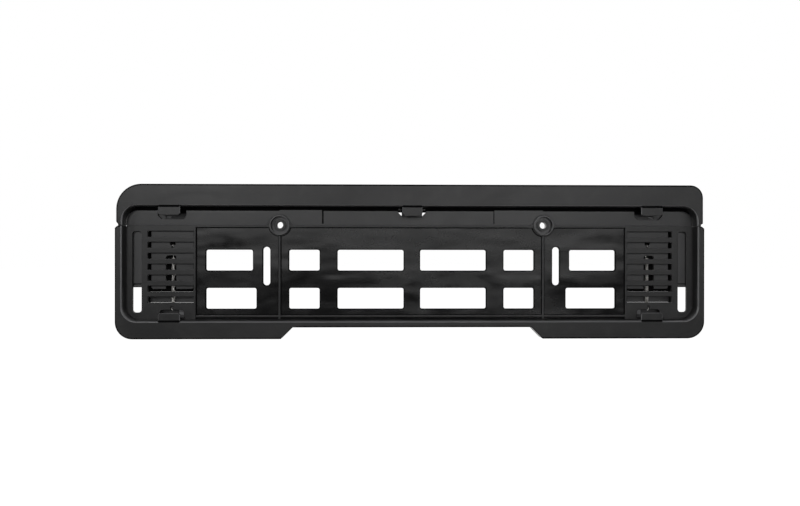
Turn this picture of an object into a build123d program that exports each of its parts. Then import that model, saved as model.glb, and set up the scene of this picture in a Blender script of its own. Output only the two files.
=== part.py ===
"""Number plate holder: a base that is screwed to the car and a sprung top frame that slides up on it."""

import os

from build123d import *

# Frame: X to the right, Z up, the front towards -Y, all sizes in millimetres.
# The origin is midway between the screw holes on the mounting plane, Y = 0.
# A depth is a distance forward from the mounting plane, a drop is a distance below the screw row.

# Overall sizes
overall_width = 535.0
overall_height = 140.0
overall_depth = 15.4
screw_row_drop = 36.5  # from the top edge down to the screw row
outer_corner_radius = 15.5
top_left_radius = 22.5
top_right_radius = 11.5
inner_corner_radius = 13.0
wall = 2.0
crest_wall = 1.6
outer_edge_chamfer = 0.7
crest_radius = 1.4
stiffener_width = 1.4
stiffener_pitch = 48.0
stiffener_setback = 3.0  # free space behind the stiffeners
ear_stiffener_start = 14.4  # from the cut-away to the first stiffener

# Rims and bars
side_rim_width = 6.2
top_bar_height = 20.0
bottom_bar_height = 16.2
recess_draft = 1.05  # how far the recess walls lean in at the deck
cutaway_width = 238.0
cutaway_height = 10.5
cutaway_angle = 45.0
base_end_drop = 1.3
base_end_chamfer = 2.0
frame_inset = 1.25  # top frame narrower than the base on each side
frame_rim_width = 5.5
frame_end_gap = 0.7
frame_end_chamfer = 2.3
frame_end_chamfer_rise = 3.2
frame_back = 0.8
lap_height = 4.0  # of the joint behind the front skin of the frame's ends
lap_depth = 11.5

# Layers, from the mounting plane forward
rear_bar_thickness = 1.6
slide_clearance = 0.4
leg_thickness = 3.0
deck_thickness = 2.1
strip_step = 0.6  # strip face behind the deck face
panel_thickness = 2.0

# Upper strip of the base
strip_top = 13.0
strip_side_gap = 0.75
strip_corner_radius = 9.5
ridge_top_drop = 0.1
ridge_bottom_drop = 2.3
ridge_bevel = 0.5
tongue_rise = 0.8
left_slit_x = -81.8
left_slit_width = 1.4
right_slit_x = 75.6
right_slit_width = 0.8
slit_bottom = 1.2
end_notch_width = 25.6
end_notch_bottom = 5.3
end_notch_chamfer = 3.4
middle_notch_width = 25.8
middle_notch_bottom = 6.8
middle_notch_chamfer = 5.0

# Screw bosses and mounting slots
screw_spacing = 242.6
screw_hole_diameter = 6.0
boss_diameter = 18.4
boss_wall = 1.2
boss_collar = 0.9  # collar outside the boss
collar_radius = 6.0  # where the collar runs into the ridge
boss_depth = 8.7
boss_floor_depth = 4.4
boss_floor_thickness = 1.8
screw_seat_diameter = 11.0
screw_seat_depth = 6.0
mounting_slot_offset = 12.1  # outwards from the screw hole
mounting_slot_width = 6.3
mounting_slot_drop = 20.0
mounting_slot_length = 35.4

# Windows, each with its inner edge and width, in two rows
window_height = 19.0
window_row_drop = 22.75
window_row_pitch = 35.1
window_radius = 1.8
middle_window_inner = 7.7
middle_window_width = 60.7
small_window_inner = 85.0
small_window_width = 27.8
outer_window_margin = 8.7  # from the guide block
upper_outer_window_width = 42.5
lower_outer_window_width = 45.8

# Ribs on the panels
rib_width = 2.0
rib_depth = 7.0
bottom_rib_gap = 1.6

# Guide block at each end, measured inwards from the edge of the deck
block_width = 62.9
block_wall = 1.6
outer_slot_inset = 5.7
outer_slot_width = 8.0
outer_slot_drop = 6.0
outer_slot_end_gap = 6.2  # above the foot of the deck
outer_slot_radius = 2.8
louvre_inset = 19.4
divider_margin = 0.2
louvre_width = 41.6
louvre_drop = 5.75
louvre_height = 5.3
louvre_pitch = 10.0
rear_bar_lap = 0.2  # rear bars taller than the slots they stand behind, above and below
strap_height = 4.5
top_strap_drop = 10.0

# Legs, prongs and flange of the top frame
travel = 20.0
stop_clearance = 0.3
leg_side_clearance = 0.9
leg_outer_clearance = 2.4
prong_side_clearance = 0.6
leg_drop = 58.9
prong_drop = 57.2
leg_tip_chamfer = 1.6
catch_height = 1.9
catch_reach = 1.5
catch_width = 9.0
flange_bottom = 10.5
fork_inset = 41.2  # from the edge of the deck to the middle of the fork
fork_width = 9.2
fork_shift = 1.5  # fork further out than the spring in it
fork_drop = 28.2
fork_radius = 2.0
eye_width = 4.5
eye_height = 2.6
eye_drop = 15.7
bridge_thickness = 1.4
prong_groove = 0.9
prong_groove_rise = 2.4  # above the tip of the prong
bead_length = 4.0
bead_shift = 3.0  # outwards from the middle of the tab
bead_bottom = 5.9
bead_height = 2.2
bead_reach = 0.9
clip_relief_width = 27.0
clip_relief_top = 11.8
clip_tongue_width = 18.8
clip_tongue_bottom = 5.4
clip_lug_width = 2.6
clip_lug_height = 1.8
clip_lug_bottom = 13.3
clip_lug_depth = 8.4
slit_tongue_width = 8.0
slit_tongue_bottom = 0.6
tab_pocket_bottom = 10.1
tab_pocket_depth = 2.2
tab_pocket_inner = 13.6
tab_pocket_outer = 10.8

# Tabs that hold the plate
tab_width = 19.6
tab_thickness = 1.8
tab_radius = 2.2
top_tab_length = 8.2
bottom_tab_length = 7.3
tab_hole_margin = 0.9
tab_hole_height = 9.5
tab_hole_foot = 2.7  # from the edge of the recess up to the hole
tab_hole_radius = 2.4
tab_backing_reach = 4.9  # inwards from the middle of the tab
tab_backing_rise = 1.8
tab_bevel = 0.5
tab_slope = 45.0
tab_groove_width = 0.8
tab_groove_depth = 0.7
middle_tab_width = 18.3
middle_tab_length = 8.7
middle_tab_chamfer = 2.6

# Springs
wire_diameter = 0.6
wire_sides = 8
coil_diameter = 3.2
coil_fork_gap = 1.8  # below the head of the fork
coil_shank = 6.0  # straight wire from the coil to the lower hook
hook_return = 1.6
hook_clearance = 0.2
hook_seat = 0.1
hook_pocket_width = 1.8
hook_pocket_height = 3.4
hook_pocket_depth = 0.9

# Derived sizes
half_width = overall_width / 2
top_z = screw_row_drop
bottom_z = top_z - overall_height
recess_half = half_width - side_rim_width
recess_bottom = bottom_z + bottom_bar_height
deck_half = recess_half - recess_draft
deck_bottom = recess_bottom + recess_draft
base_top = -base_end_drop
frame_half = half_width - frame_inset
frame_end = base_top + frame_end_gap
opening_half = frame_half - frame_rim_width
opening_top = top_z - top_bar_height
strip_half = opening_half - strip_side_gap

leg_back = rear_bar_thickness + slide_clearance
leg_front = leg_back + leg_thickness
deck_back = leg_front + slide_clearance
deck_front = deck_back + deck_thickness
strip_front = deck_front - strip_step
panel_back = deck_back - panel_thickness
tab_back = overall_depth - tab_thickness
lap_front = overall_depth - wall - slide_clearance
lap_inner = opening_half + crest_wall

screw_x = screw_spacing / 2
block_inner = deck_half - block_width
outer_slot_outer = deck_half - outer_slot_inset
outer_slot_inner = outer_slot_outer - outer_slot_width
louvre_outer = deck_half - louvre_inset
louvre_inner = louvre_outer - louvre_width
divider_inner = louvre_outer + divider_margin
divider_outer = divider_inner + block_wall
fork_x = deck_half - fork_inset
leg_inner = block_inner + block_wall + leg_side_clearance
leg_outer = divider_inner - leg_outer_clearance
prong_inner = divider_outer + prong_side_clearance
prong_outer = deck_half - prong_side_clearance
catch_top = catch_height - prong_drop
stop_z = catch_top + travel + stop_clearance
tab_hole_top = recess_bottom + tab_hole_height
bridge_top = -eye_drop - eye_height
hook_groove = (leg_thickness - bridge_thickness) / 2
hook_groove_half = wire_diameter + hook_clearance
louvre_room = -louvre_drop - tab_hole_top - louvre_height
louvre_count = int(louvre_room / louvre_pitch) + 1

overlap = 0.8  # how far a plate runs into the wall that carries it
margin = 0.01  # for picking edges that lie on a limit
sides = (-1, 1)


def box_face(x_low, x_high, z_low, z_high, mode=Mode.ADD):
    """Adds a rectangle between these limits to the sketch being made."""
    with Locations(((x_low + x_high) / 2, (z_low + z_high) / 2)):
        Rectangle(x_high - x_low, z_high - z_low, mode=mode)


def end_faces(x_inner, x_outer, z_low, z_high, mode=Mode.ADD):
    """Adds the same rectangle at both ends of the holder."""
    for side in sides:
        with Locations((side * (x_inner + x_outer) / 2, (z_low + z_high) / 2)):
            Rectangle(x_outer - x_inner, z_high - z_low, mode=mode)


def base_outline(inset):
    """Draws the outline of the base, moved inwards by inset."""
    low = bottom_z + inset
    high = base_top - inset
    width = overall_width - 2 * inset
    with BuildSketch(mode=Mode.PRIVATE) as blank:
        box_face(-width / 2, width / 2, low, high)
        fillet(blank.vertices().group_by(Axis.Y)[0], outer_corner_radius - inset)
        chamfer(blank.vertices().group_by(Axis.Y)[-1], base_end_chamfer)
        with Locations((0, low)):
            Trapezoid(
                cutaway_width + 2 * inset,
                cutaway_height,
                cutaway_angle,
                align=(Align.CENTER, Align.MIN),
                mode=Mode.SUBTRACT,
            )
    add(blank.sketch)


def recess_outline(half, low, high, mode=Mode.ADD):
    """Draws the plate recess, open at the top, with round lower corners."""
    with BuildSketch(mode=Mode.PRIVATE) as blank:
        box_face(-half, half, low, high)
        fillet(blank.vertices().group_by(Axis.Y)[0], inner_corner_radius)
    add(blank.sketch, mode=mode)


def frame_outline(half, low, high, left_radius, right_radius, mode=Mode.ADD):
    """Draws an upright panel with round upper corners."""
    with BuildSketch(mode=Mode.PRIVATE) as blank:
        box_face(-half, half, low, high)
        fillet(blank.vertices().group_by(Axis.Y)[-1].sort_by(Axis.X)[0], left_radius)
        fillet(blank.vertices().group_by(Axis.Y)[-1].sort_by(Axis.X)[-1], right_radius)
    add(blank.sketch, mode=mode)


def ridge_outline():
    """Draws the ridge below the strip, which runs round the screw bosses as a collar."""
    with BuildSketch(mode=Mode.PRIVATE) as blank:
        box_face(-strip_half, strip_half, -ridge_bottom_drop, -ridge_top_drop)
        with Locations((-screw_x, 0), (screw_x, 0)):
            Circle(boss_diameter / 2 + boss_collar)
        corners = blank.vertices().filter_by(
            lambda v: abs(v.Y + ridge_top_drop) < margin and abs(abs(v.X) - screw_x) < boss_diameter
        )
        fillet(corners, collar_radius)
    add(blank.sketch)


def end_tabs(x_middle, width, low, high, corner):
    """Adds the tabs of both ends, with bevelled front edges; corner rounds the free edge of each."""
    for bevelled in (False, True):
        depth = overall_depth - tab_bevel if bevelled else tab_back
        with BuildSketch(Plane.XZ.offset(depth)) as blank:
            end_faces(x_middle - width / 2, x_middle + width / 2, low, high)
            fillet(blank.vertices().group_by(Axis.Y)[corner], tab_radius)
        if bevelled:
            extrude(blank.sketch, amount=tab_bevel, taper=tab_slope)
        else:
            extrude(blank.sketch, amount=tab_thickness - tab_bevel)


def notch(x_middle, width, low, corner):
    """Cuts a notch with chamfered lower corners into the top edge of the strip."""
    with BuildSketch(mode=Mode.PRIVATE) as blank:
        box_face(x_middle - width / 2, x_middle + width / 2, low, strip_top + tongue_rise)
        chamfer(blank.vertices().group_by(Axis.Y)[0], corner)
    add(blank.sketch, mode=Mode.SUBTRACT)


def wire_run(x, z_low, z_high):
    """Adds a straight length of spring wire, along Z."""
    with BuildSketch(Plane.XY.offset(z_low)) as section:
        with Locations((x, 0)):
            RegularPolygon(wire_diameter / 2, wire_sides)
    extrude(section.sketch, amount=z_high - z_low)


def wire_bend(x_middle, z, radius, turn_axis):
    """Adds half a turn of spring wire about an axis across the spring."""
    with BuildSketch(Plane.XY.offset(z)) as section:
        with Locations((x_middle + radius, 0)):
            RegularPolygon(wire_diameter / 2, wire_sides)
    revolve(section.sketch, axis=Axis((x_middle, 0, z), turn_axis), revolution_arc=180)


# Base moulding
with BuildPart() as base:
    # Rim with the recess for the plate
    with BuildSketch(Plane.XZ):
        base_outline(0)
    extrude(amount=overall_depth)
    rim_face = base.faces().sort_by(Axis.Y)[0]
    rim_edges = rim_face.edges().filter_by(lambda e: e.center().Z < base_top - base_end_chamfer)
    chamfer(rim_edges, outer_edge_chamfer)
    with BuildSketch(Plane.XZ.offset(deck_front)):
        recess_outline(deck_half, deck_bottom, top_z)
    with BuildSketch(Plane.XZ.offset(overall_depth)):
        recess_outline(recess_half, recess_bottom, top_z)
    loft(mode=Mode.SUBTRACT)
    with BuildSketch(Plane.XZ):
        recess_outline(deck_half, deck_bottom, top_z)
    extrude(amount=deck_front, mode=Mode.SUBTRACT)
    crest_edges = base.faces().sort_by(Axis.Y)[0].edges().filter_by(
        lambda e: abs(e.center().X) < recess_half + margin and e.center().Z > recess_bottom - margin
    )
    fillet(crest_edges, crest_radius)

    # Rim hollow behind, with stiffeners across it
    with BuildSketch(Plane.XZ):
        base_outline(wall)
        recess_outline(recess_half + crest_wall, recess_bottom - crest_wall, top_z, mode=Mode.SUBTRACT)
    extrude(amount=overall_depth - wall, mode=Mode.SUBTRACT)
    with BuildSketch(Plane.XZ.offset(stiffener_setback)):
        first_x = cutaway_width / 2 + ear_stiffener_start
        ear_count = int((half_width - outer_corner_radius - first_x) / stiffener_pitch) + 1
        for step in range(ear_count):
            rib_x = first_x + step * stiffener_pitch
            end_faces(rib_x, rib_x + stiffener_width, bottom_z + wall / 2, recess_bottom - overlap)
    extrude(amount=overall_depth - wall / 2 - stiffener_setback)

    # Laps that stand behind the front skin of the frame's ends
    with BuildSketch(Plane.XZ.offset(lap_front - lap_depth)):
        lap_top = frame_end + lap_height - slide_clearance
        end_faces(lap_inner + slide_clearance, half_width - base_end_chamfer, base_top - wall, lap_top)
    extrude(amount=lap_depth)

    # Deck of the guide blocks and the ridge below the strip, which runs round the bosses as a collar
    with BuildSketch(Plane.XZ.offset(deck_back)):
        recess_outline(deck_half + overlap, deck_bottom - overlap, base_top)
        box_face(-block_inner, block_inner, deck_bottom - wall, -ridge_bottom_drop, mode=Mode.SUBTRACT)
    extrude(amount=deck_thickness)
    with BuildPart(mode=Mode.PRIVATE) as ridge:
        with BuildSketch(Plane.XZ.offset(deck_back)):
            ridge_outline()
        extrude(amount=deck_thickness)
        chamfer(ridge.faces().sort_by(Axis.Y)[0].edges(), ridge_bevel)
    add(ridge.part)

    # Strip with its tongues, notches and slits
    with BuildSketch(Plane.XZ.offset(deck_back)):
        frame_outline(strip_half, -ridge_bottom_drop, strip_top, strip_corner_radius, strip_corner_radius)
        box_face(-screw_x, left_slit_x, 0, strip_top + tongue_rise)
        box_face(right_slit_x, screw_x, 0, strip_top + tongue_rise)
        box_face(
            left_slit_x - left_slit_width / 2,
            left_slit_x + left_slit_width / 2,
            slit_bottom,
            strip_top + tongue_rise,
            mode=Mode.SUBTRACT,
        )
        box_face(
            right_slit_x - right_slit_width / 2,
            right_slit_x + right_slit_width / 2,
            slit_bottom,
            strip_top + tongue_rise,
            mode=Mode.SUBTRACT,
        )
        for side in sides:
            notch(side * fork_x, end_notch_width, end_notch_bottom, end_notch_chamfer)
        notch(0, middle_notch_width, middle_notch_bottom, middle_notch_chamfer)
    extrude(amount=strip_front - deck_back)

    # Window panels, set back behind the deck, and the ribs on them
    with BuildSketch(Plane.XZ.offset(panel_back)):
        box_face(
            -block_inner - block_wall,
            block_inner + block_wall,
            deck_bottom - overlap,
            -ridge_bottom_drop + block_wall,
        )
    extrude(amount=panel_thickness)
    with BuildSketch(Plane.XZ.offset(deck_back)):
        end_faces(screw_x - rib_width / 2, screw_x + rib_width / 2, deck_bottom - overlap, 0)
        rib_low = deck_bottom + bottom_rib_gap
        box_face(-block_inner - overlap, block_inner + overlap, rib_low, rib_low + rib_width)
    extrude(amount=rib_depth - deck_back)

    # Screw bosses, cored out in front of and behind the screw seat
    with BuildSketch(Plane.XZ):
        with Locations((-screw_x, 0), (screw_x, 0)):
            Circle(boss_diameter / 2)
    extrude(amount=boss_depth)
    with BuildSketch(Plane.XZ.offset(boss_floor_depth)):
        with Locations((-screw_x, 0), (screw_x, 0)):
            Circle(boss_diameter / 2 - boss_wall)
    extrude(amount=boss_depth - boss_floor_depth, mode=Mode.SUBTRACT)
    with BuildSketch(Plane.XZ):
        with Locations((-screw_x, 0), (screw_x, 0)):
            Circle(boss_diameter / 2 - boss_wall)
    extrude(amount=boss_floor_depth - boss_floor_thickness, mode=Mode.SUBTRACT)
    with BuildSketch(Plane.XZ):
        with Locations((-screw_x, 0), (screw_x, 0)):
            Circle(screw_seat_diameter / 2)
    extrude(amount=screw_seat_depth)
    with BuildSketch(Plane.XZ):
        with Locations((-screw_x, 0), (screw_x, 0)):
            Circle(screw_hole_diameter / 2)
    extrude(amount=boss_depth, mode=Mode.SUBTRACT)

    # Windows and mounting slots through the panels
    with BuildSketch(Plane.XZ):
        outer_edge = block_inner - outer_window_margin
        outer_widths = (upper_outer_window_width, lower_outer_window_width)
        for row in range(2):
            row_z = -window_row_drop - window_height / 2 - row * window_row_pitch
            for side in sides:
                with Locations((side * (middle_window_inner + middle_window_width / 2), row_z)):
                    RectangleRounded(middle_window_width, window_height, window_radius)
                with Locations((side * (small_window_inner + small_window_width / 2), row_z)):
                    RectangleRounded(small_window_width, window_height, window_radius)
                with Locations((side * (outer_edge - outer_widths[row] / 2), row_z)):
                    RectangleRounded(outer_widths[row], window_height, window_radius)
        for side in sides:
            slot_x = side * (screw_x + mounting_slot_offset)
            with Locations((slot_x, -mounting_slot_drop - mounting_slot_length / 2)):
                SlotOverall(mounting_slot_length, mounting_slot_width, rotation=90)
    extrude(amount=deck_front, mode=Mode.SUBTRACT)

    # Guide cages: side walls, rear bars behind the louvre slots and straps behind the prongs
    with BuildSketch(Plane.XZ):
        cage_foot = tab_hole_top
        end_faces(block_inner, block_inner + block_wall, cage_foot, base_top - block_wall)
        end_faces(divider_inner, divider_outer, cage_foot, base_top - block_wall)
    extrude(amount=deck_back + overlap)
    with BuildSketch(Plane.XZ):
        for step in range(louvre_count):
            slot_top = -louvre_drop - step * louvre_pitch
            bar_low = slot_top - louvre_height - rear_bar_lap
            end_faces(block_inner, divider_outer, bar_low, slot_top + rear_bar_lap)
        end_faces(divider_inner, deck_half + overlap, stop_z, stop_z + strap_height)
        strap_top = -top_strap_drop
        end_faces(divider_inner, deck_half + overlap, strap_top - strap_height, strap_top)
    extrude(amount=rear_bar_thickness)

    # Louvre slots and outer slots through the deck
    with BuildSketch(Plane.XZ.offset(deck_back)):
        for step in range(louvre_count):
            slot_top = -louvre_drop - step * louvre_pitch
            end_faces(louvre_inner, louvre_outer, slot_top - louvre_height, slot_top)
        slot_low = deck_bottom + outer_slot_end_gap
        slot_height = -outer_slot_drop - slot_low
        for side in sides:
            with Locations((side * (outer_slot_inner + outer_slot_outer) / 2, slot_low + slot_height / 2)):
                RectangleRounded(outer_slot_width, slot_height, outer_slot_radius)
    extrude(amount=deck_thickness, mode=Mode.SUBTRACT)

    # Bottom tabs, the openings and backings behind them and the pockets for the spring hooks
    tab_hole_half = tab_width / 2 + tab_hole_margin
    with BuildSketch(Plane.XZ) as tab_holes:
        hole_low = recess_bottom + tab_hole_foot
        end_faces(fork_x - tab_hole_half, fork_x + tab_hole_half, hole_low, tab_hole_top)
        fillet(tab_holes.vertices().group_by(Axis.Y)[-1], tab_hole_radius)
    extrude(amount=deck_front, mode=Mode.SUBTRACT)
    with BuildSketch(Plane.XZ):
        end_faces(
            fork_x - tab_backing_reach,
            divider_outer,
            recess_bottom - crest_wall / 2,
            tab_hole_top + tab_backing_rise,
        )
    extrude(amount=rear_bar_thickness)
    tab_root = crest_radius + tab_bevel
    end_tabs(fork_x, tab_width, recess_bottom - tab_root, recess_bottom + bottom_tab_length, -1)
    with BuildSketch(Plane.XZ.offset(overall_depth - tab_groove_depth)):
        end_faces(
            fork_x - tab_width / 2,
            fork_x + tab_width / 2,
            recess_bottom - tab_groove_width,
            recess_bottom,
        )
    extrude(amount=tab_groove_depth, mode=Mode.SUBTRACT)
    with BuildSketch(Plane.XZ.offset(deck_front - hook_pocket_depth)):
        end_faces(
            fork_x - hook_pocket_width / 2,
            fork_x + hook_pocket_width / 2,
            tab_hole_top,
            tab_hole_top + hook_pocket_height,
        )
    extrude(amount=hook_pocket_depth, mode=Mode.SUBTRACT)


# Top frame moulding
with BuildPart() as top_frame:
    # Bar with side rims, hollow behind
    with BuildSketch(Plane.XZ.offset(frame_back)) as bar:
        frame_outline(frame_half, frame_end, top_z, top_left_radius, top_right_radius)
        chamfer(
            bar.vertices().group_by(Axis.Y)[0],
            frame_end_chamfer_rise,
            frame_end_chamfer,
        )
    extrude(amount=overall_depth - frame_back)
    bar_face = top_frame.faces().sort_by(Axis.Y)[0]
    bar_edges = bar_face.edges().filter_by(lambda e: e.center().Z > frame_end + frame_end_chamfer_rise)
    chamfer(bar_edges, outer_edge_chamfer)
    with BuildSketch(Plane.XZ):
        frame_outline(opening_half, bottom_z, opening_top, inner_corner_radius, inner_corner_radius)
    extrude(amount=overall_depth, mode=Mode.SUBTRACT)
    inner_edges = top_frame.faces().sort_by(Axis.Y)[0].edges().filter_by(
        lambda e: abs(e.center().X) < opening_half + margin and e.center().Z < opening_top + margin
    )
    fillet(inner_edges, crest_radius)
    with BuildSketch(Plane.XZ.offset(frame_back)):
        frame_outline(
            frame_half - wall,
            frame_end + wall,
            top_z - wall,
            top_left_radius - wall,
            top_right_radius - wall,
        )
        frame_outline(
            opening_half + crest_wall,
            frame_end,
            opening_top + crest_wall,
            inner_corner_radius + crest_wall,
            inner_corner_radius + crest_wall,
            mode=Mode.SUBTRACT,
        )
    extrude(amount=overall_depth - wall - frame_back, mode=Mode.SUBTRACT)
    with BuildSketch(Plane.XZ.offset(stiffener_setback)):
        bar_count = int((frame_half - top_left_radius) / stiffener_pitch)
        for step in range(bar_count):
            rib_x = stiffener_pitch / 2 + step * stiffener_pitch
            end_faces(rib_x, rib_x + stiffener_width, opening_top + overlap, top_z - wall / 2)
    extrude(amount=overall_depth - wall / 2 - stiffener_setback)

    # Ends of the side rims, cut back behind their front skin and outside their inner wall for the laps
    with BuildSketch(Plane.XZ):
        end_faces(lap_inner, half_width, base_top, frame_end + lap_height)
    extrude(amount=overall_depth - wall, mode=Mode.SUBTRACT)

    # Flange behind the strip, with tongues behind its slits and its middle notch
    with BuildSketch(Plane.XZ.offset(leg_back)):
        frame_outline(
            opening_half + overlap,
            flange_bottom,
            opening_top + overlap,
            inner_corner_radius / 2,
            inner_corner_radius / 2,
        )
        relief_half = clip_relief_width / 2
        tongue_half = clip_tongue_width / 2
        slit_half = slit_tongue_width / 2
        box_face(-relief_half, relief_half, flange_bottom, clip_relief_top, mode=Mode.SUBTRACT)
        box_face(-tongue_half, tongue_half, clip_tongue_bottom, clip_relief_top + overlap)
        for slit_x in (left_slit_x, right_slit_x):
            box_face(slit_x - slit_half, slit_x + slit_half, slit_tongue_bottom, flange_bottom + overlap)
    extrude(amount=leg_thickness)

    # Lugs beside the middle tab
    with BuildSketch(Plane.XZ.offset(leg_back)):
        lug_inner = tongue_half + slide_clearance
        lug_top = clip_lug_bottom + clip_lug_height
        end_faces(lug_inner, lug_inner + clip_lug_width, clip_lug_bottom, lug_top)
    extrude(amount=clip_lug_depth - leg_back)

    # Legs and prongs that run in the guide cages
    with BuildSketch(Plane.XZ.offset(leg_back)):
        end_faces(leg_inner, leg_outer, -leg_drop, flange_bottom)
        end_faces(prong_inner, prong_outer, -prong_drop, flange_bottom)
    extrude(amount=leg_thickness)
    leg_tips = top_frame.faces().filter_by(Axis.Z).filter_by(lambda f: f.center().Z < margin - prong_drop)
    chamfer(leg_tips.edges().filter_by(Axis.Y), leg_tip_chamfer)
    with BuildSketch(Plane.XZ.offset(leg_back)):
        for side in sides:
            with Locations((side * (fork_x + fork_shift), -fork_drop)):
                RectangleRounded(
                    fork_width,
                    2 * (leg_drop - fork_drop),
                    fork_radius,
                    align=(Align.CENTER, Align.MAX),
                )
        end_faces(fork_x - eye_width / 2, fork_x + eye_width / 2, bridge_top, -eye_drop)
    extrude(amount=leg_thickness, mode=Mode.SUBTRACT)

    # Grooves across the prongs and beads on the legs, below the end tabs
    with BuildSketch(Plane.XZ.offset(leg_front - prong_groove)):
        prong_groove_low = prong_groove_rise - prong_drop
        end_faces(prong_inner, prong_outer, prong_groove_low, prong_groove_low + prong_groove)
    extrude(amount=prong_groove, mode=Mode.SUBTRACT)
    for side in sides:
        with BuildSketch(Plane.YZ.offset(side * (fork_x + bead_shift) - bead_length / 2)):
            with Locations((-leg_front, bead_bottom + bead_height / 2)):
                Trapezoid(
                    bead_height,
                    bead_reach,
                    tab_slope,
                    rotation=90,
                    align=(Align.CENTER, Align.MIN),
                )
        extrude(amount=bead_length)

    # Pockets behind the end tabs
    with BuildSketch(Plane.XZ.offset(leg_front - tab_pocket_depth)):
        end_faces(fork_x - tab_pocket_inner, fork_x + tab_pocket_outer, tab_pocket_bottom, opening_top)
    extrude(amount=tab_pocket_depth, mode=Mode.SUBTRACT)

    # Catches that stop at the straps of the base when the frame is fully raised
    for side in sides:
        catch_middle = side * (prong_inner + prong_outer) / 2
        with BuildSketch(Plane.YZ.offset(catch_middle - catch_width / 2)):
            with BuildLine():
                Polyline(
                    (-leg_back, catch_top),
                    (-leg_back + catch_reach, catch_top),
                    (-leg_back, -prong_drop),
                    close=True,
                )
            make_face()
        extrude(amount=catch_width)

    # Grooves for the spring hooks on both faces of the bridge above the fork
    with BuildSketch(Plane.XZ.offset(leg_back)):
        end_faces(fork_x - hook_groove_half, fork_x + hook_groove_half, -fork_drop, bridge_top)
    extrude(amount=hook_groove, mode=Mode.SUBTRACT)
    with BuildSketch(Plane.XZ.offset(leg_front - hook_groove)):
        groove_low = bridge_top - 2 * hook_return
        end_faces(fork_x - hook_groove_half, fork_x + hook_groove_half, groove_low, bridge_top)
    extrude(amount=hook_groove, mode=Mode.SUBTRACT)

    # Tabs along the lower edge of the bar
    end_tabs(fork_x, tab_width, opening_top - top_tab_length, opening_top + tab_root, 0)
    for bevelled in (False, True):
        depth = overall_depth - tab_bevel if bevelled else tab_back
        with BuildSketch(Plane.XZ.offset(depth)) as middle_tab:
            tab_half = middle_tab_width / 2
            box_face(-tab_half, tab_half, opening_top - middle_tab_length, opening_top + tab_root)
            chamfer(middle_tab.vertices().group_by(Axis.Y)[0], middle_tab_chamfer)
        if bevelled:
            extrude(amount=tab_bevel, taper=tab_slope)
        else:
            extrude(amount=tab_thickness - tab_bevel)
    with BuildSketch(Plane.XZ.offset(overall_depth - tab_groove_depth)):
        groove_top = opening_top + tab_groove_width
        end_faces(fork_x - tab_width / 2, fork_x + tab_width / 2, opening_top, groove_top)
        box_face(-middle_tab_width / 2, middle_tab_width / 2, opening_top, groove_top)
    extrude(amount=tab_groove_depth, mode=Mode.SUBTRACT)


# Spring about its own axis, with its front towards X: a close-wound coil, as a sleeve, between open hooks
coil_mean = (coil_diameter - wire_diameter) / 2
spring_depth = (leg_back + leg_front) / 2
coil_high = -fork_drop - coil_fork_gap
coil_low = tab_hole_top + coil_shank
hook_inside = coil_mean - wire_diameter / 2
bridge_half = bridge_thickness / 2
top_hook_z = bridge_top + hook_seat - (hook_inside**2 - bridge_half**2) ** 0.5
deck_edge_front = deck_front - hook_pocket_depth - spring_depth
hook_front = deck_edge_front + hook_pocket_depth / 2
foot_middle = (coil_mean + hook_front) / 2
foot_radius = (hook_front - coil_mean) / 2
foot_inside = foot_radius - wire_diameter / 2
foot_hook_z = tab_hole_top - hook_seat + (foot_inside**2 - (deck_edge_front - foot_middle) ** 2) ** 0.5

with BuildPart() as spring:
    with BuildSketch(Plane.XZ):
        box_face(hook_inside, coil_diameter / 2, coil_low, coil_high)
    revolve(axis=Axis.Z)
    wire_run(coil_mean, top_hook_z - hook_return, top_hook_z)
    wire_bend(0, top_hook_z, coil_mean, (0, -1, 0))
    wire_run(-coil_mean, coil_high - wire_diameter, top_hook_z)
    wire_run(coil_mean, foot_hook_z, coil_low + wire_diameter)
    wire_bend(foot_middle, foot_hook_z, foot_radius, (0, 1, 0))
    wire_run(hook_front, foot_hook_z, foot_hook_z + hook_return)

with BuildPart() as left_spring:
    add(spring.part.moved(Location((-fork_x, -spring_depth, 0), (0, 0, -90))))
with BuildPart() as right_spring:
    add(spring.part.moved(Location((fork_x, -spring_depth, 0), (0, 0, -90))))

base.part.label = "base"
top_frame.part.label = "top_frame"
left_spring.part.label = "left_spring"
right_spring.part.label = "right_spring"

os.makedirs("parts", exist_ok=True)
for piece in (base, top_frame, left_spring, right_spring):
    export_step(piece.part, f"parts/{piece.part.label}.step")
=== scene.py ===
import math

import bmesh
import bpy
from mathutils import Matrix, Vector


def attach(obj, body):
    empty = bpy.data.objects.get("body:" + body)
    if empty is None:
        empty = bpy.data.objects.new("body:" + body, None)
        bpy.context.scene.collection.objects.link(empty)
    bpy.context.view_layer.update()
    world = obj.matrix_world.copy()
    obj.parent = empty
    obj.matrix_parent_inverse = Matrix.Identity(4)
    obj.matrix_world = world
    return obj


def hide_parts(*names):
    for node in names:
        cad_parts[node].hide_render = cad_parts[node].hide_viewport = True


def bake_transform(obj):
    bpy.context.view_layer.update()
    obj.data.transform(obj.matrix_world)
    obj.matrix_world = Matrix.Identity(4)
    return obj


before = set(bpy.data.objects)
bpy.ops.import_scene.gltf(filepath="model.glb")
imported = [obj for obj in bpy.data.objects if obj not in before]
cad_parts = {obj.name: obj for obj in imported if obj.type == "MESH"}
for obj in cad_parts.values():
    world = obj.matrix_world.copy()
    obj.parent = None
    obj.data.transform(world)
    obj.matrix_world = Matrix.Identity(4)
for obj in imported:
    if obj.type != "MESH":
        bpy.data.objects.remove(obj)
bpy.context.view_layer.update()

# All sizes are in metres, in the frame of the CAD model: X to the right, Z up, the front towards -Y

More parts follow.
